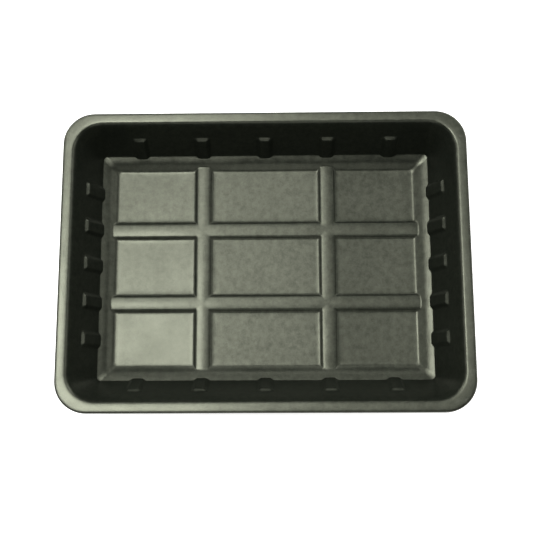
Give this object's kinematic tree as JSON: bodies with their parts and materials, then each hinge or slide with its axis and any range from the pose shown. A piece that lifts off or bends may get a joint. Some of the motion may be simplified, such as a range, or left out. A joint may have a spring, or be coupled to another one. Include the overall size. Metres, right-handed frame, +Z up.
{
  "type": "seedling tray",
  "caption": "Open rectangular seedling tray, thermoformed in black plastic, with a rolled rim, drafted walls with stacking lugs, and a floor of shallow panels parted by raised bars.",
  "frame": {"origin": "centre of the underside, on the plane that the tray stands on", "axes": "+X along the long side, +Y along the short side, +Z up through the open top"},
  "size_m": [0.4, 0.296, 0.05],
  "materials": {
    "tray_plastic": "fine haircell grain with a soft satin sheen"
  },
  "bodies": {
    "root": {"tray": "tray_plastic"}
  },
  "joints": []
}
